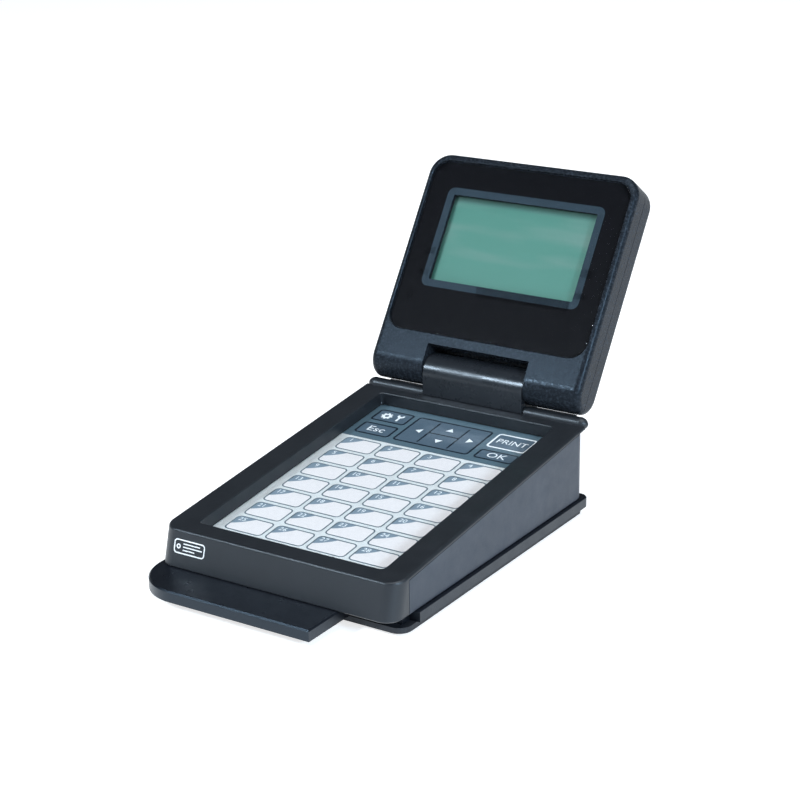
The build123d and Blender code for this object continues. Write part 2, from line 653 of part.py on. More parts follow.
with BuildPart() as display_back_shell:
    add(lid_body.part)
    add(lid_room.part, mode=Mode.SUBTRACT)
    with BuildSketch(lid.offset(parting - seam)):
        with Locations((0, 40)):
            Rectangle(120, 140)
    extrude(amount=30, mode=Mode.SUBTRACT)
    # the notch is lower in the rear wall, which hides the housing's top from behind
    for depth, top in ((lid_back + lid_wall, notch_top), (lid_back - 1, notch_back)):
        with BuildSketch(lid.offset(depth)):
            with Locations((0, top - 20)):
                Rectangle(housing_w + 2 * notch_gap, 40)
        extrude(amount=40, mode=Mode.SUBTRACT)
    with Locations((0, axis_y, axis_z)):
        Cylinder(shaft_r + 0.15, 2 * flange_x, rotation=(0, 90, 0), mode=Mode.SUBTRACT)
    with BuildSketch(lid.offset(lid_back)):
        with Locations(*lid_boss_spots):
            Circle(2.3)
    extrude(amount=1.4, mode=Mode.SUBTRACT)
    with BuildSketch(lid.offset(lid_back)):
        with Locations(*lid_boss_spots):
            Circle(1.1)
    extrude(amount=4, mode=Mode.SUBTRACT)
save(display_back_shell.part, "display_back_shell")

with BuildPart() as display_lens:
    with BuildSketch(lid.offset(lens_back)):
        with Locations((0, lens_mid)):
            RectangleRounded(lens_w, lens_h, lens_r)
    extrude(amount=lens_t)
    lens_front = display_lens.faces().sort_by_distance(lid.origin + lid.z_dir * 60 + lid.y_dir * 48)[0]
    fillet(lens_front.edges(), 0.3)
save(display_lens.part, "display_lens")

with BuildPart() as lens_mask:
    with BuildSketch(lid.offset(pocket_floor)):
        with Locations((0, lens_mid)):
            RectangleRounded(lens_w - 0.4, lens_h - 0.4, lens_r - 0.2)
        with Locations((0, ring_mid)):
            RectangleRounded(ring_w, ring_h, 3.0, mode=Mode.SUBTRACT)
    extrude(amount=0.2)
save(lens_mask.part, "lens_mask")

with BuildPart() as window_ring:
    with BuildSketch(lid.offset(pocket_floor)):
        with Locations((0, ring_mid)):
            RectangleRounded(ring_w, ring_h, 3.0)
            RectangleRounded(ring_w - 2 * ring_band, ring_h - 2 * ring_band, 0.6, mode=Mode.SUBTRACT)
    extrude(amount=0.2)
save(window_ring.part, "window_ring")

lcd_face = pocket_floor - lcd_recess
frame_w = 76.0
frame_h = 47.0
with BuildPart() as lcd_frame:
    with BuildSketch(lid.offset(lcd_face - 4.2)):
        with Locations((0, ring_mid)):
            RectangleRounded(frame_w, frame_h, 1.0)
            Rectangle(frame_w - 1.2, frame_h - 1.2, mode=Mode.SUBTRACT)
    extrude(amount=4.2)
    with BuildSketch(lid.offset(lcd_face - 0.4)):
        with Locations((0, ring_mid)):
            Rectangle(frame_w - 0.8, frame_h - 0.8)
            Rectangle(ring_w - 2 * ring_band + 0.6, ring_h - 2 * ring_band + 0.6, mode=Mode.SUBTRACT)
    extrude(amount=0.4)
save(lcd_frame.part, "lcd_frame")

with BuildPart() as lcd_glass:
    with BuildSketch(lid.offset(lcd_face - 0.4 - 1.4)):
        with Locations((0, ring_mid)):
            Rectangle(frame_w - 1.4, frame_h - 1.4)
    extrude(amount=1.4)
save(lcd_glass.part, "lcd_glass")

with BuildPart() as backlight:
    with BuildSketch(lid.offset(lcd_face - 4.2)):
        with Locations((0, ring_mid)):
            Rectangle(frame_w - 1.4, frame_h - 1.4)
    extrude(amount=2.4)
save(backlight.part, "backlight")

board_face = lcd_face - 4.2
with BuildPart() as lcd_board:
    with BuildSketch(lid.offset(board_face - 1.2)):
        with Locations((0, ring_mid - 1)):
            RectangleRounded(77, 54, 1.0)
    extrude(amount=1.2)
    with BuildSketch(lid.offset(board_face - 2.4)):
        with Locations((20, ring_mid - 22), (-18, ring_mid)):
            Rectangle(12, 5)
    extrude(amount=1.3)
save(lcd_board.part, "lcd_board")

with BuildPart() as lid_screws:
    with BuildSketch(lid.offset(lid_back + 0.2)):
        with Locations(*lid_boss_spots):
            Circle(2.1)
    extrude(amount=1.2)
    with BuildSketch(lid.offset(lid_back + 1.0)):
        with Locations(*lid_boss_spots):
            Circle(0.9)
    extrude(amount=7.5)
    with BuildSketch(lid.offset(lid_back + 0.2)):
        with Locations(*lid_boss_spots):
            Rectangle(2.4, 0.6)
            Rectangle(0.6, 2.4)
    extrude(amount=0.7, mode=Mode.SUBTRACT)
save(lid_screws.part, "lid_screws")

# ==== display cable: its two halves meet on the hinge axis, inside the hollow right shaft ==========
with BuildPart() as display_cable_base:
    with BuildLine() as cable_path:
        FilletPolyline((cable_x, console_y + 121, plate_top + cable_z),
                       (cable_x, console_y + 138.2, plate_top + cable_z),
                       (cable_x, axis_y, axis_z), (22.2, axis_y, axis_z), radius=2.5)
    with BuildSketch(Plane(origin=cable_path.line @ 0, z_dir=cable_path.line % 0)):
        Circle(cable_r)
    sweep()
save(display_cable_base.part, "display_cable_base")

with BuildPart() as display_cable_lid:
    with BuildLine() as lid_cable_path:
        FilletPolyline(lid.from_local_coords((22.4, 0, 0)), lid.from_local_coords((33.0, 0, 0)),
                       lid.from_local_coords((33.0, 14.0, -3.0)), lid.from_local_coords((26.5, 24.0, -5.5)),
                       radius=4.0)
    with BuildSketch(Plane(origin=lid_cable_path.line @ 0, z_dir=lid_cable_path.line % 0)):
        Circle(cable_r)
    sweep()
save(display_cable_lid.part, "display_cable_lid")
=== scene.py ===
import json
from math import atan, cos, pi, radians, sin

import bmesh
import bpy
from mathutils import Euler, Matrix, Vector


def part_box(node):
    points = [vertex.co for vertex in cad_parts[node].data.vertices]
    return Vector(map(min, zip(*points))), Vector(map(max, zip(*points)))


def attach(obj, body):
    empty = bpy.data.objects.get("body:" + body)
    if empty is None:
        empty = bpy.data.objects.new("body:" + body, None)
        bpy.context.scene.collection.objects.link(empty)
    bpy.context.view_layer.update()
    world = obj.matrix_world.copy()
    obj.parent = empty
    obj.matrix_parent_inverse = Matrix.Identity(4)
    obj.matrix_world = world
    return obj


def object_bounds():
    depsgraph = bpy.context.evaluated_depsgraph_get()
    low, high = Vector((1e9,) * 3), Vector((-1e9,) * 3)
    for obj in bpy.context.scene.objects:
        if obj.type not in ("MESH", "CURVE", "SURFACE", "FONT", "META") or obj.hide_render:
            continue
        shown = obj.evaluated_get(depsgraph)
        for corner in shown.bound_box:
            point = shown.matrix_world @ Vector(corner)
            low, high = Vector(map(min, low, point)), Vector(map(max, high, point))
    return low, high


# Desk console of a label maker, dressed for rendering.  The CAD frame gives every place; this
# script adds materials, the print on the key sheet, a generic mark, a floor, lights and a camera.
# Lengths are metres, except where a name or a comment says millimetres.

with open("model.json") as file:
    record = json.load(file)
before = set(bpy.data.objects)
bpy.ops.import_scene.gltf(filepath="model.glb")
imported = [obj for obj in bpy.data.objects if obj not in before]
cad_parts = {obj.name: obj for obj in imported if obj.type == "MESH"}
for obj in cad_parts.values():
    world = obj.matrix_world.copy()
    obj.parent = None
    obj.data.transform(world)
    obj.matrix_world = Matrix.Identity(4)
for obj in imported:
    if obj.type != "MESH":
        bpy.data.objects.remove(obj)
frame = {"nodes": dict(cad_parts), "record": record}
cad_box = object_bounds()
MM = 0.001

# ==== numbers that the materials share ===========================================================
# sizes of the noise patterns, in features per metre
CLOUD, WEAR, MOTTLE, SHEEN, FIBRE, SMEAR, GLASS = 45, 160, 700, 220, 5000, 60, 80
NEUTRAL = (0.84, 0.92, 1.0)        # tint of the gloss on dark plastic
BLUE = (0.60, 0.80, 1.0)           # the same on the pieces that look blue-grey
UNTINTED = (1, 1, 1)
PRINT_RELIEF = 0.004               # height of the fibres in printed sheets, millimetres
STREAK_RELIEF = 0.01               # height of the streaks in rolled metal, millimetres

# the display: dot pitch, share of the pitch that is gap, and ring width, in millimetres
LCD_DOT = 0.5
LCD_GAP = 0.16
RING_BAND = 3.0
# painted shade inside the window, where the recess would shade the display: direction, reach in millimetres,
# and what is left at the darkest
TOP_PAINTED_SHADE = ("Y", -3.2, 0.34)
LEFT_PAINTED_SHADE = ("X", 2.6, 0.55)


# ==== helpers for nodes and materials ============================================================
def new_material(name):
    """An empty node material: returns it with its node tree and its shader."""
    mat = bpy.data.materials.new(name)
    mat.use_nodes = True
    tree = mat.node_tree
    shader = next(n for n in tree.nodes if n.type == "BSDF_PRINCIPLED")
    return mat, tree, shader


def node(tree, kind, **values):
    """A new node with attributes or input values set by name."""
    made = tree.nodes.new(kind)
    for key, value in values.items():
        if hasattr(made, key):
            setattr(made, key, value)
        else:
            made.inputs[key.replace("_", " ")].default_value = value
    return made


def object_coords(tree):
    """Object coordinates, which are the frame's own metres on every CAD node."""
    return tree.nodes.new("ShaderNodeTexCoord").outputs["Object"]


def noise(tree, scale, detail=3.0, roughness=0.55):
    """A noise texture in object space, scale in features per metre."""
    made = node(tree, "ShaderNodeTexNoise", Scale=scale, Detail=detail, Roughness=roughness)
    tree.links.new(object_coords(tree), made.inputs["Vector"])
    return made.outputs["Fac"]


def stretched_noise(tree, coords, stretch, scale, detail):
    """A noise texture whose coordinates are stretched by their own factor on each axis."""
    mapping = node(tree, "ShaderNodeMapping")
    mapping.inputs["Scale"].default_value = stretch
    tree.links.new(coords, mapping.inputs["Vector"])
    made = node(tree, "ShaderNodeTexNoise", Scale=scale, Detail=detail)
    tree.links.new(mapping.outputs["Vector"], made.inputs["Vector"])
    return made.outputs["Fac"]


def ramp(tree, source, low, high, start=0.3, stop=0.7):
    """Maps a factor to a range between two colours or two grey levels."""
    made = tree.nodes.new("ShaderNodeValToRGB")
    elements = made.color_ramp.elements
    elements[0].position, elements[1].position = start, stop
    elements[0].color = low if isinstance(low, tuple) else (low, low, low, 1)
    elements[1].color = high if isinstance(high, tuple) else (high, high, high, 1)
    tree.links.new(source, made.inputs["Fac"])
    return made.outputs["Color"]


def mix_colors(tree, factor, first, second, blend="MIX"):
    """Mixes two colours; the factor and each colour is either a link's source or a constant."""
    made = node(tree, "ShaderNodeMix", data_type="RGBA", blend_type=blend)
    factor_in, first_in, second_in, result = made.inputs[0], made.inputs[6], made.inputs[7], made.outputs[2]
    for socket, value in ((factor_in, factor), (first_in, first), (second_in, second)):
        if isinstance(value, bpy.types.NodeSocket):
            tree.links.new(value, socket)
        else:
            socket.default_value = value
    return result


def bump(tree, shader, source, height, strength=1.0):
    """Drives the shader's normal from a height pattern."""
    made = node(tree, "ShaderNodeBump", Strength=strength, Distance=height)
    tree.links.new(source, made.inputs["Height"])
    tree.links.new(made.outputs["Normal"], shader.inputs["Normal"])


def shade(color, factor):
    """A colour scaled in brightness, as RGBA."""
    return (color[0] * factor, color[1] * factor, color[2] * factor, 1.0)


def moulded_plastic(name, color, rough, grain_mm, grain_depth,
                    speckle=0.0, tint=NEUTRAL, shine=0.5, sparkle=0.0):
    """Spark-eroded moulded plastic: grain, soft cloudy colour, handling marks or sparkle in the gloss."""
    mat, tree, shader = new_material(name)
    grain = noise(tree, 1 / (grain_mm * MM), 5, 0.75)
    tone = ramp(tree, noise(tree, CLOUD, 4), shade(color, 0.88), shade(color, 1.12))
    if speckle:
        fleck = ramp(tree, grain, 0.0, 1.0, 0.52, 0.64)
        tone = mix_colors(tree, fleck, tone, shade(color, 1 + speckle))
    tree.links.new(tone, shader.inputs["Base Color"])
    if sparkle:
        gloss = ramp(tree, grain, rough - sparkle, rough + sparkle, 0.42, 0.58)
    else:
        gloss = ramp(tree, noise(tree, WEAR, 5, 0.65), rough - 0.06, rough + 0.08)
    tree.links.new(gloss, shader.inputs["Roughness"])
    bump(tree, shader, grain, grain_depth * MM, 0.8)
    shader.inputs["Specular IOR Level"].default_value = shine
    shader.inputs["Specular Tint"].default_value = (*tint, 1)
    return mat


def metal(name, color, rough, stretch=(30, 900, 30), metallic=1.0):
    """Brushed or rolled metal: streaks along one direction in tone, gloss and height."""
    mat, tree, shader = new_material(name)
    streak = stretched_noise(tree, object_coords(tree), stretch, 10.0, 4.0)
    tree.links.new(ramp(tree, streak, shade(color, 0.8), shade(color, 1.15)), shader.inputs["Base Color"])
    tree.links.new(ramp(tree, streak, rough - 0.06, rough + 0.1), shader.inputs["Roughness"])
    bump(tree, shader, streak, STREAK_RELIEF * MM, 0.4)
    shader.inputs["Metallic"].default_value = metallic
    return mat


def printed(name, color, rough=0.32, coat=0.0, fibre=0.04, shine=0.5):
    """Ink or film on a flat sheet: faint mottling, a hint of fibre, optional gloss film on top."""
    mat, tree, shader = new_material(name)
    mottle = noise(tree, MOTTLE, 4)
    tree.links.new(ramp(tree, mottle, shade(color, 0.97), shade(color, 1.03)), shader.inputs["Base Color"])
    tree.links.new(ramp(tree, noise(tree, SHEEN, 3), rough - 0.04, rough + 0.05), shader.inputs["Roughness"])
    bump(tree, shader, noise(tree, FIBRE, 2), PRINT_RELIEF * MM, fibre)
    shader.inputs["Specular IOR Level"].default_value = shine
    shader.inputs["Coat Weight"].default_value = coat
    shader.inputs["Coat Roughness"].default_value = 0.05
    return mat


def clear_film(name, color, alpha, rough):
    """A thin clear sheet: mostly see-through, with a faint smear in its gloss."""
    mat, tree, shader = new_material(name)
    shader.inputs["Base Color"].default_value = (*color, 1)
    shader.inputs["Alpha"].default_value = alpha
    shader.inputs["IOR"].default_value = 1.49
    tree.links.new(ramp(tree, noise(tree, SMEAR, 5), rough, rough + 0.01), shader.inputs["Roughness"])
    mat.surface_render_method = "BLENDED"
    return mat


def dot_grid(tree, split):
    """1 in the gaps between the display's dots and 0 on the dots."""
    gaps = []
    for axis in ("X", "Y"):
        cell = node(tree, "ShaderNodeMath", operation="DIVIDE")
        cell.inputs[1].default_value = LCD_DOT * MM
        tree.links.new(split.outputs[axis], cell.inputs[0])
        fract = node(tree, "ShaderNodeMath", operation="FRACT")
        tree.links.new(cell.outputs[0], fract.inputs[0])
        gap = node(tree, "ShaderNodeMath", operation="LESS_THAN")
        gap.inputs[1].default_value = LCD_GAP
        tree.links.new(fract.outputs[0], gap.inputs[0])
        gaps.append(gap.outputs[0])
    either = node(tree, "ShaderNodeMath", operation="MAXIMUM")
    tree.links.new(gaps[0], either.inputs[0])
    tree.links.new(gaps[1], either.inputs[1])
    return either.outputs[0]


def window_shade(tree, split, tilt, tone):
    """Paints shade into a tone under the window's top and left edges, where the recess would shade the
    display.
    """
    ring_low, ring_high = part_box("window_ring")
    top_edge = ring_high[1] * cos(tilt) + ring_high[2] * sin(tilt) - RING_BAND * MM
    left_edge = ring_low[0] + RING_BAND * MM
    for edge, (axis, reach, darkest) in ((top_edge, TOP_PAINTED_SHADE), (left_edge, LEFT_PAINTED_SHADE)):
        rim = node(tree, "ShaderNodeMapRange", interpolation_type="SMOOTHSTEP")
        rim.inputs["From Min"].default_value = edge
        rim.inputs["From Max"].default_value = edge + reach * MM
        rim.inputs["To Min"].default_value = darkest
        rim.inputs["To Max"].default_value = 1.0
        tree.links.new(split.outputs[axis], rim.inputs["Value"])
        tone = mix_colors(tree, 1.0, tone, rim.outputs["Result"], "MULTIPLY")
    return tone


def lcd_material(name, color, tilt):
    """A graphic LCD: green ground, faint dot matrix, soft level streaks of painted reflection, painted shade
    inside the window.
    """
    mat, tree, shader = new_material(name)
    turn = node(tree, "ShaderNodeMapping")
    turn.inputs["Rotation"].default_value = (-tilt, 0, 0)
    tree.links.new(object_coords(tree), turn.inputs["Vector"])
    flat = turn.outputs["Vector"]
    split = node(tree, "ShaderNodeSeparateXYZ")
    tree.links.new(flat, split.inputs["Vector"])
    tone = ramp(tree, dot_grid(tree, split), shade(color, 1.0), shade(color, 1.06), 0.0, 1.0)
    # painted reflection: soft level streaks that lighten the green towards a pale green
    streaks = stretched_noise(tree, flat, (18, 110, 18), 1.0, 2.0)
    painted_sheen_green = (0.30, 0.36, 0.34, 1)
    tone = mix_colors(tree, ramp(tree, streaks, 0.0, 0.32, 0.45, 0.75), tone, painted_sheen_green)
    # painted shade under the window's top and left edges
    tone = window_shade(tree, split, tilt, tone)
    tree.links.new(tone, shader.inputs["Base Color"])
    tree.links.new(tone, shader.inputs["Emission Color"])
    shader.inputs["Emission Strength"].default_value = 0.12
    tree.links.new(ramp(tree, noise(tree, GLASS, 3), 0.28, 0.32), shader.inputs["Roughness"])
    shader.inputs["Specular IOR Level"].default_value = 0.2
    return mat


# ==== palette ====================================================================================
CHARCOAL = (0.0150, 0.0168, 0.0200)
BLACK = (0.012, 0.012, 0.013)
lens_low, lens_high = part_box("display_lens")
LID_TILT = atan((lens_high[2] - lens_low[2]) / (lens_high[1] - lens_low[1]))
MATERIALS = {
    "case_plastic": moulded_plastic("case_plastic", CHARCOAL, 0.38, 0.6, 0.03),
    "base_plastic": moulded_plastic("base_plastic", (0.0065, 0.0075, 0.0105), 0.32, 0.6, 0.025,
                                    tint=BLUE, shine=0.42),
    "housing_plastic": moulded_plastic("housing_plastic", (0.0125, 0.0145, 0.018), 0.28, 0.7, 0.012,
                                       shine=0.42),
    "lid_plastic": moulded_plastic("lid_plastic", (0.011, 0.0135, 0.0175), 0.32, 1.0, 0.035,
                                   speckle=2.2, tint=BLUE, shine=0.13, sparkle=0.13),
    "underlay": moulded_plastic("underlay", (0.014, 0.015, 0.019), 0.6, 0.3, 0.02),
    "rubber": moulded_plastic("rubber", BLACK, 0.75, 0.4, 0.03, tint=UNTINTED),
    "screw_steel": metal("screw_steel", (0.30, 0.30, 0.32), 0.36),
    "hinge_steel": metal("hinge_steel", (0.50, 0.50, 0.52), 0.30),
    "support_aluminium": metal("support_aluminium", (0.62, 0.63, 0.65), 0.4, (400, 20, 20)),
    "socket_steel": metal("socket_steel", (0.55, 0.55, 0.56), 0.25),
    "lcd_frame_steel": metal("lcd_frame_steel", (0.012, 0.013, 0.015), 0.45, metallic=0.3),
    "circuit_board": printed("circuit_board", (0.02, 0.16, 0.06), 0.35),
    "chip_black": moulded_plastic("chip_black", BLACK, 0.55, 0.15, 0.01, tint=UNTINTED),
    "flex_film": printed("flex_film", (0.42, 0.20, 0.03), 0.3),
    "cable_jacket": moulded_plastic("cable_jacket", BLACK, 0.5, 0.2, 0.01),
    "printed_sheet": printed("printed_sheet", (0.74, 0.77, 0.77), 0.35, coat=0.4),
    "touch_glass": printed("touch_glass", (0.55, 0.6, 0.6), 0.1),
    "clear_film": clear_film("clear_film", (0.10, 0.12, 0.13), 0.03, 0.06),
    "lens_clear": clear_film("lens_clear", (0.010, 0.011, 0.014), 0.10, 0.03),
    "lens_print": printed("lens_print", (0.0045, 0.0046, 0.0060), 0.35, fibre=0.0, shine=0.03),
    "ring_print": printed("ring_print", (0.024, 0.043, 0.060), 0.45, fibre=0.0, shine=0.12),
    "lcd_green": lcd_material("lcd_green", (0.086, 0.250, 0.200), LID_TILT),
    "backlight_white": printed("backlight_white", (0.8, 0.82, 0.8), 0.4),
}
SLOT_OF = {s["node"]: s["material_slot"] for s in frame["record"]["subparts"]}
for name, obj in frame["nodes"].items():
    obj.data.materials.clear()
    obj.data.materials.append(MATERIALS[SLOT_OF[name]])
# painted light: the lower case, moulded apart from the deck, gets a lighter, bluer copy of the case plastic
# so that its side walls look lit by the lights on the right
frame["nodes"]["bottom_case"].data.materials[0] = moulded_plastic(
    "side_plastic_painted_light", (0.0195, 0.0245, 0.0360), 0.38, 0.6, 0.03, tint=BLUE, shine=0.42)

INKS = {
    "white_ink": printed("white_ink", (0.86, 0.90, 0.92), 0.35, coat=0.4),
    "key_paper": printed("key_paper", (0.80, 0.77, 0.77), 0.38, coat=0.4),
    "grey_ink": printed("grey_ink", (0.205, 0.275, 0.335), 0.35, coat=0.4),
    "outline_ink": printed("outline_ink", (0.11, 0.155, 0.185), 0.35, coat=0.4),
    "slate_ink": printed("slate_ink", (0.085, 0.140, 0.175), 0.35, coat=0.4),
    "slate_key_ink": printed("slate_key_ink", (0.078, 0.120, 0.160), 0.33, coat=0.4),
    "navy_ink": printed("navy_ink", (0.004, 0.009, 0.017), 0.35, coat=0.3),
    "mark_paint": printed("mark_paint", (0.86, 0.87, 0.88), 0.45),
}


# ==== printing in a plane ========================================================================
class Print:
    """Thin shapes of one ink laid on a plane: x across, y along, thickness outward."""

    def __init__(self, name, plane, ink, lift_mm, thick_mm=0.02):
        self.name, self.plane, self.ink = name, plane, ink
        self.low, self.high = lift_mm * MM, (lift_mm + thick_mm) * MM
        self.mesh = bmesh.new()

    def _ring_of(self, points, height):
        return [self.mesh.verts.new(self.plane @ Vector((x * MM, y * MM, height))) for x, y in points]

    def shape(self, points):
        """A filled outline, given anticlockwise in millimetres."""
        top, bottom = self._ring_of(points, self.high), self._ring_of(points, self.low)
        self.mesh.faces.new(top)
        self.mesh.faces.new(bottom[::-1])
        for a in range(len(points)):
            b = (a + 1) % len(points)
            self.mesh.faces.new((top[b], top[a], bottom[a], bottom[b]))

    def band(self, outer, inner):
        """A closed band between two outlines with the same number of points."""
        rings = [self._ring_of(p, h) for p in (outer, inner) for h in (self.high, self.low)]
        outer_top, outer_low, inner_top, inner_low = rings
        for a in range(len(outer)):
            b = (a + 1) % len(outer)
            self.mesh.faces.new((outer_top[a], outer_top[b], inner_top[b], inner_top[a]))
            self.mesh.faces.new((outer_low[b], outer_low[a], inner_low[a], inner_low[b]))
            self.mesh.faces.new((outer_top[b], outer_top[a], outer_low[a], outer_low[b]))
            self.mesh.faces.new((inner_top[a], inner_top[b], inner_low[b], inner_low[a]))

    def text(self, words, x, y, size, wide=1.0):
        """Generic lettering, centred on x and y."""
        curve = bpy.data.curves.new("letters", "FONT")
        curve.body, curve.size = words, size * MM
        curve.align_x, curve.align_y = "CENTER", "CENTER"
        curve.resolution_u = 3
        curve.extrude = (self.high - self.low) / 2
        holder = bpy.data.objects.new("letters", curve)
        letters = bpy.data.meshes.new_from_object(holder)
        letters.transform(Matrix.Diagonal((wide, 1, 1, 1)))
        letters.transform(Matrix.Translation((x * MM, y * MM, (self.low + self.high) / 2)))
        letters.transform(self.plane)
        self.mesh.from_mesh(letters)
        bpy.data.objects.remove(holder)
        bpy.data.meshes.remove(letters)

    def finish(self, body, slot_name):
        """Makes the object, gives it its ink and lets it ride on its body."""
        data = bpy.data.meshes.new(self.name)
        bmesh.ops.recalc_face_normals(self.mesh, faces=self.mesh.faces)
        self.mesh.to_mesh(data)
        self.mesh.free()
        obj = bpy.data.objects.new(self.name, data)
        bpy.context.collection.objects.link(obj)
        data.materials.append(INKS[self.ink])
        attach(obj, body)


def box_outline(x0, y0, x1, y1):
    """Outline of a rectangle with sharp corners, anticlockwise."""
    return [(x0, y0), (x1, y0), (x1, y1), (x0, y1)]


def rounded(x0, y0, x1, y1, r, inset=0.0, steps=5):
    """Outline of a rectangle with round corners, anticlockwise."""
    x0, y0, x1, y1, r = x0 + inset, y0 + inset, x1 - inset, y1 - inset, max(r - inset, 0.05)
    corners = ((x1 - r, y0 + r, -90), (x1 - r, y1 - r, 0), (x0 + r, y1 - r, 90), (x0 + r, y0 + r, 180))
    return [(cx + r * cos(radians(a + 90 * k / steps)), cy + r * sin(radians(a + 90 * k / steps)))
            for cx, cy, a in corners for k in range(steps + 1)]


def circle(x, y, r, steps=20):
    """Points of a circle, anticlockwise."""
    return [(x + r * cos(2 * pi * k / steps), y + r * sin(2 * pi * k / steps)) for k in range(steps)]


def moved(points, dx, dy):
    """The same outline in another place."""
    return [(x + dx, y + dy) for x, y in points]


# ==== the printed key sheet: places in millimetres on the deck's plane ===========================
SHEET_REACH = 127.0                # the sheet's rear edge, behind the deck's front crease
SHEET_T = 0.2                      # its thickness
DECK_SLOPE = radians(6.56)         # the deck rises towards the rear
sheet_high = Vector(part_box("key_sheet")[1])
rear_edge = Vector((0, sheet_high.y - SHEET_T * MM * sin(DECK_SLOPE), sheet_high.z))
deck_along = Vector((0, cos(DECK_SLOPE), sin(DECK_SLOPE)))
deck_zero = rear_edge - deck_along * SHEET_REACH * MM
deck_plane = Matrix.Translation(deck_zero) @ Euler((DECK_SLOPE, 0, 0)).to_matrix().to_4x4()

# heights of the ink layers over the sheet
LAYER_1, LAYER_2, LAYER_3, LAYER_4 = 0.02, 0.05, 0.08, 0.11

COLUMNS, ROWS = 4, 7
PITCH_X, PITCH_Y = 17.94, 11.71
KEY_W, KEY_H, KEY_R = 16.5, 10.25, 2.0
FIRST_X, FIRST_Y = -35.7, 15.7     # front left corner of the front left key
LINE_W = 0.58
CORNER_W, CORNER_H = 8.2, 6.2      # grey corner of a template key
CORNER_INSET = 0.1
CORNER_BULGE_X, CORNER_BULGE_Y = 0.48, 0.36     # how far the middle of its long edge bulges out
CORNER_STEPS = 8
NUMBER_X, NUMBER_Y = 3.1, 2.2      # a number's centre, from the key's rear left corner
NUMBER_SIZE = 3.3

key_paper = Print("template_keys", deck_plane, "key_paper", LAYER_1)
key_lines = Print("template_outlines", deck_plane, "outline_ink", LAYER_2)
key_corners = Print("template_corners", deck_plane, "grey_ink", LAYER_2)
key_numbers = Print("template_numbers", deck_plane, "white_ink", LAYER_3)


def corner_outline(left, top):
    """The grey corner: a bulging long edge, then the key's own round corner."""
    long_edge = []
    for k in range(CORNER_STEPS + 1):
        t = k / CORNER_STEPS
        bulge = 4 * t * (1 - t)
        long_edge.append((left + t * CORNER_W + CORNER_BULGE_X * bulge,
                          top - (1 - t) * CORNER_H - CORNER_BULGE_Y * bulge))
    arc = [(left + KEY_R + KEY_R * cos(radians(a)), top - KEY_R + KEY_R * sin(radians(a)))
           for a in range(90, 181, 15)]
    return long_edge + arc


def template_key(x, y, number):
    """One template key: outline, paper, curved grey corner with its number."""
    key = (x, y, x + KEY_W, y + KEY_H, KEY_R)
    key_paper.shape(rounded(*key))
    key_lines.band(rounded(*key), rounded(*key, LINE_W))
    key_corners.shape(corner_outline(x + CORNER_INSET, y + KEY_H - CORNER_INSET))
    key_numbers.text(str(number), x + NUMBER_X, y + KEY_H - NUMBER_Y, NUMBER_SIZE)


for row in range(ROWS):
    for column in range(COLUMNS):
        template_key(FIRST_X + column * PITCH_X, FIRST_Y + (ROWS - 1 - row) * PITCH_Y,
                     row * COLUMNS + column + 1)
for layer in (key_paper, key_lines, key_corners, key_numbers):
    layer.finish("base", "printed_sheet")

# the slate band behind the function keys
BAND_START, BAND_END = 97.7, SHEET_REACH - 0.1
BAND_HALF = 40.5
band = Print("function_band", deck_plane, "slate_ink", LAYER_1)
band.shape(box_outline(-BAND_HALF, BAND_START, BAND_HALF, BAND_END))
band.finish("base", "printed_sheet")

FUNCTION_R, FUNCTION_LINE = 1.6, 0.8
FUNCTION_KEYS = {                  # left, front, right, rear
    "tools": (-36.8, 113.0, -20.9, 122.6),
    "escape": (-36.8, 101.2, -20.9, 110.6),
    "arrows": (-18.8, 101.2, 15.1, 122.4),
    "print": (17.6, 110.8, 34.6, 122.4),
    "ok": (17.6, 101.0, 34.6, 108.4),
}
DIVIDERS = ((-8.7, 103.2, -8.0, 120.8), (4.8, 102.9, 5.5, 120.4), (-8.0, 111.6, 4.8, 112.3))
ARROWS = ((-12.8, 111.7, 90), (-1.3, 116.7, 0), (-1.3, 106.8, 180), (10.2, 111.8, -90))  # x, y, turn
ARROW_HEAD = ((-1.7, -1.1), (1.7, -1.1), (0, 1.5))
# words, x, y, size, width
LABELS = (("Esc", -28.9, 105.9, 5.6, 1.1), ("PRINT", 26.1, 116.6, 4.8, 1.0), ("OK", 26.1, 104.8, 5.2, 1.1))
GEAR_X, WRENCH_X, TOOLS_Y = -31.6, -25.9, 117.8
GEAR_TEETH, GEAR_TIP, GEAR_ROOT, GEAR_BORE = 8, 2.5, 1.95, 0.85
TOOTH = ((GEAR_TIP, -9), (GEAR_TIP, 9), (GEAR_ROOT, 14), (GEAR_ROOT, 31))      # radius, degrees
WRENCH = ((-0.45, -2.5), (0.45, -2.5), (0.45, 0.2), (1.5, 1.2), (1.5, 2.4), (0.7, 2.4), (0.55, 1.5),
          (-0.55, 1.5), (-0.7, 2.4), (-1.5, 2.4), (-1.5, 1.2), (-0.45, 0.2))

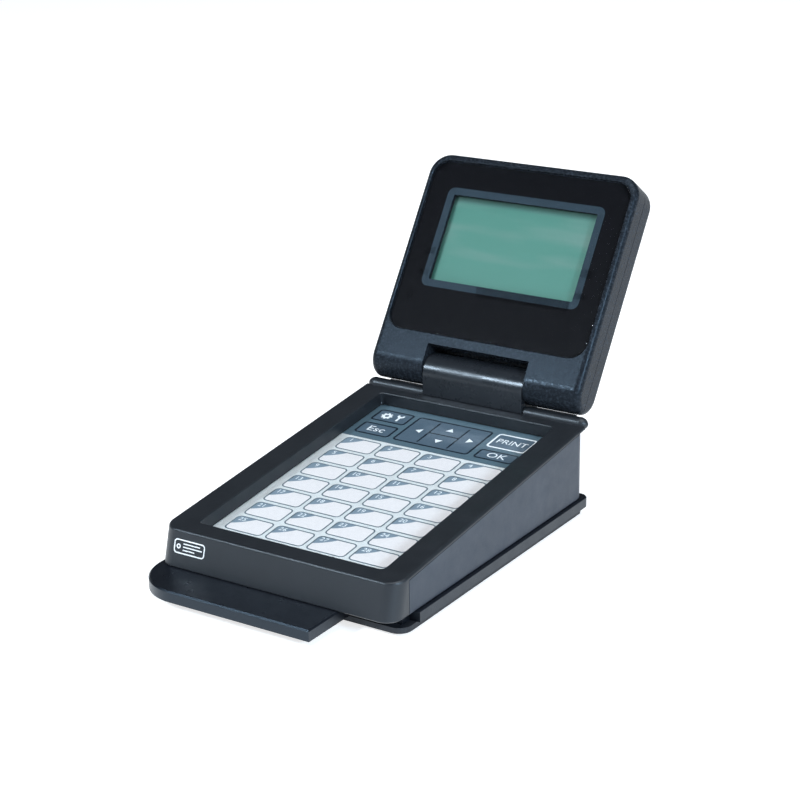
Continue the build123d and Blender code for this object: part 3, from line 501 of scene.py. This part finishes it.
function_fill = Print("function_keys", deck_plane, "slate_key_ink", LAYER_2)
function_lines = Print("function_outlines", deck_plane, "navy_ink", LAYER_3)
function_icons = Print("function_icons", deck_plane, "white_ink", LAYER_4)
for key, place in FUNCTION_KEYS.items():
    function_fill.shape(rounded(*place, FUNCTION_R))
    target = function_icons if key == "print" else function_lines
    target.band(rounded(*place, FUNCTION_R), rounded(*place, FUNCTION_R, FUNCTION_LINE))
for place in DIVIDERS:
    function_lines.shape(box_outline(*place))
for x, y, turn in ARROWS:
    c, s = cos(radians(turn)), sin(radians(turn))
    function_icons.shape([(x + c * a - s * b, y + s * a + c * b) for a, b in ARROW_HEAD])
for label in LABELS:
    function_icons.text(*label)
teeth, bore = [], []
for k in range(GEAR_TEETH):
    for radius, offset in TOOTH:
        angle = radians(360 / GEAR_TEETH * k + offset)
        teeth.append((radius * cos(angle), radius * sin(angle)))
        bore.append((GEAR_BORE * cos(angle), GEAR_BORE * sin(angle)))
function_icons.band(moved(teeth, GEAR_X, TOOLS_Y), moved(bore, GEAR_X, TOOLS_Y))
function_icons.shape(moved(WRENCH, WRENCH_X, TOOLS_Y))
for layer in (function_fill, function_lines, function_icons):
    layer.finish("base", "printed_sheet")

# ==== generic label-tag mark on the front face, millimetres ======================================
FRONT_SETBACK, FRONT_H = 3.6, 13.3     # the front face leans back by this much over its height
FOOT_CHAMFER = 0.4                     # its lower edge is cut back along the face by this much
MARK_LEFT, MARK_LOW, MARK_W, MARK_H, MARK_R = -43.6, 5.4, 13.6, 5.2, 1.3
MARK_LINE = 0.45
TAG_HOLE_X, TAG_HOLE_R = 2.0, 0.9
TAG_LINES = ((1.15, 7.4), (0.0, 8.4), (-1.15, 5.2))     # height over the middle, length
TAG_LINE_START = 2.0                   # from the hole's centre
TAG_LINE_HALF = 0.2                    # half a line's thickness
front_lean = atan(FRONT_SETBACK / FRONT_H)
plate_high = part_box("base_plate")[1]
case_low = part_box("top_case")[0]
front_foot = case_low[1] - FOOT_CHAMFER * MM * sin(front_lean)
front_plane = (Matrix.Translation((0, front_foot, plate_high[2]))
               @ Euler((pi / 2 - front_lean, 0, 0)).to_matrix().to_4x4())
mark = Print("front_mark", front_plane, "mark_paint", 0.0, 0.05)
tag = (MARK_LEFT, MARK_LOW, MARK_LEFT + MARK_W, MARK_LOW + MARK_H, MARK_R)
hole_x, middle = MARK_LEFT + TAG_HOLE_X, MARK_LOW + MARK_H / 2
mark.band(rounded(*tag), rounded(*tag, MARK_LINE))
mark.band(circle(hole_x, middle, TAG_HOLE_R), circle(hole_x, middle, TAG_HOLE_R - MARK_LINE))
for up, length in TAG_LINES:
    start = hole_x + TAG_LINE_START
    mark.shape(box_outline(start, middle + up - TAG_LINE_HALF, start + length, middle + up + TAG_LINE_HALF))
mark.finish("base", "case_plastic")

# ==== stage, light and camera ====================================================================
FLOOR_SIZE = 14
bpy.ops.mesh.primitive_plane_add(size=FLOOR_SIZE, location=(0, 0, 0))
floor = bpy.context.object
floor.name = "studio_floor"
floor_mat, _, floor_shader = new_material("studio_floor")
floor_shader.inputs["Base Color"].default_value = (0.70, 0.70, 0.705, 1)
floor_shader.inputs["Roughness"].default_value = 0.9
floor_shader.inputs["Specular IOR Level"].default_value = 0.1
floor_shader.inputs["Emission Color"].default_value = (1, 1, 1, 1)
floor_shader.inputs["Emission Strength"].default_value = 0.74
floor.data.materials.append(floor_mat)

# the room: a bright horizon, a dark ceiling, and a glow from the right
COOL, COLD = (0.80, 0.90, 1.0), (0.55, 0.78, 1.0)
world = bpy.data.worlds.new("studio")
bpy.context.scene.world = world
world.use_nodes = True
world_tree = world.node_tree
background = next(n for n in world_tree.nodes if n.type == "BACKGROUND")
direction = world_tree.nodes.new("ShaderNodeTexCoord").outputs["Generated"]


def lobe(toward, stops, color):
    """A colour ramp over the cosine between a direction and the one looked in."""
    cosine = node(world_tree, "ShaderNodeVectorMath", operation="DOT_PRODUCT")
    cosine.inputs[1].default_value = Vector(toward).normalized()
    world_tree.links.new(direction, cosine.inputs[0])
    made = world_tree.nodes.new("ShaderNodeValToRGB")
    elements = made.color_ramp.elements
    while len(elements) < len(stops):
        elements.new(0.5)
    for element, (position, value) in zip(elements, stops):
        element.position, element.color = position, shade(color, value)
    world_tree.links.new(cosine.outputs["Value"], made.inputs["Fac"])
    return made.outputs["Color"]


horizon = lobe((0, 0, 1), ((0.0, 0.75), (0.08, 0.62), (0.20, 0.03), (1.0, 0.06)), COOL)
right_glow = lobe((0.95, -0.1, 0.25), ((0.45, 0.0), (1.0, 0.45)), COLD)
room = mix_colors(world_tree, 1.0, horizon, right_glow, "ADD")
world_tree.links.new(room, background.inputs["Color"])
background.inputs["Strength"].default_value = 0.9


def softbox(name, place, aim, size, power, color=(1, 1, 1)):
    """A square area light at a place, turned towards a point."""
    light = bpy.data.lights.new(name, "AREA")
    light.size, light.energy, light.color = size, power, color
    obj = bpy.data.objects.new(name, light)
    obj.location = place
    obj.rotation_euler = (Vector(aim) - Vector(place)).to_track_quat("-Z", "Y").to_euler()
    bpy.context.collection.objects.link(obj)


centre = (Vector(cad_box[0]) + Vector(cad_box[1])) / 2
softbox("overhead", (0.3, -0.1, 1.7), centre, 1.3, 20)
softbox("right_key", (1.25, -0.50, 0.68), centre, 0.24, 15, (0.66, 0.84, 1.0))
softbox("front_key", (-0.58, -0.86, 0.75), centre, 0.20, 11, (0.78, 0.90, 1.0))

AZIMUTH, ELEVATION, ROLL = radians(33.03), radians(19.44), radians(-0.753)
DISTANCE = 0.7379
LENS, SENSOR = 89.74, 36.0         # millimetres
SHIFT_X, SHIFT_Y = -0.0105, 0.0016
AIM = Vector((0.0011, -0.0027, 0.0515))
back = Vector((sin(AZIMUTH) * cos(ELEVATION), -cos(AZIMUTH) * cos(ELEVATION), sin(ELEVATION)))
lens = bpy.data.cameras.new("camera")
lens.lens, lens.sensor_width = LENS, SENSOR
lens.shift_x, lens.shift_y = SHIFT_X, SHIFT_Y
lens.clip_start, lens.clip_end = 0.05, 30
camera = bpy.data.objects.new("camera", lens)
camera.matrix_world = (Matrix.Translation(AIM + back * DISTANCE)
                       @ Euler((pi / 2 - ELEVATION, 0, AZIMUTH)).to_matrix().to_4x4()
                       @ Matrix.Rotation(ROLL, 4, "Z"))
bpy.context.collection.objects.link(camera)
bpy.context.scene.camera = camera
bpy.context.scene.view_settings.view_transform = "Standard"
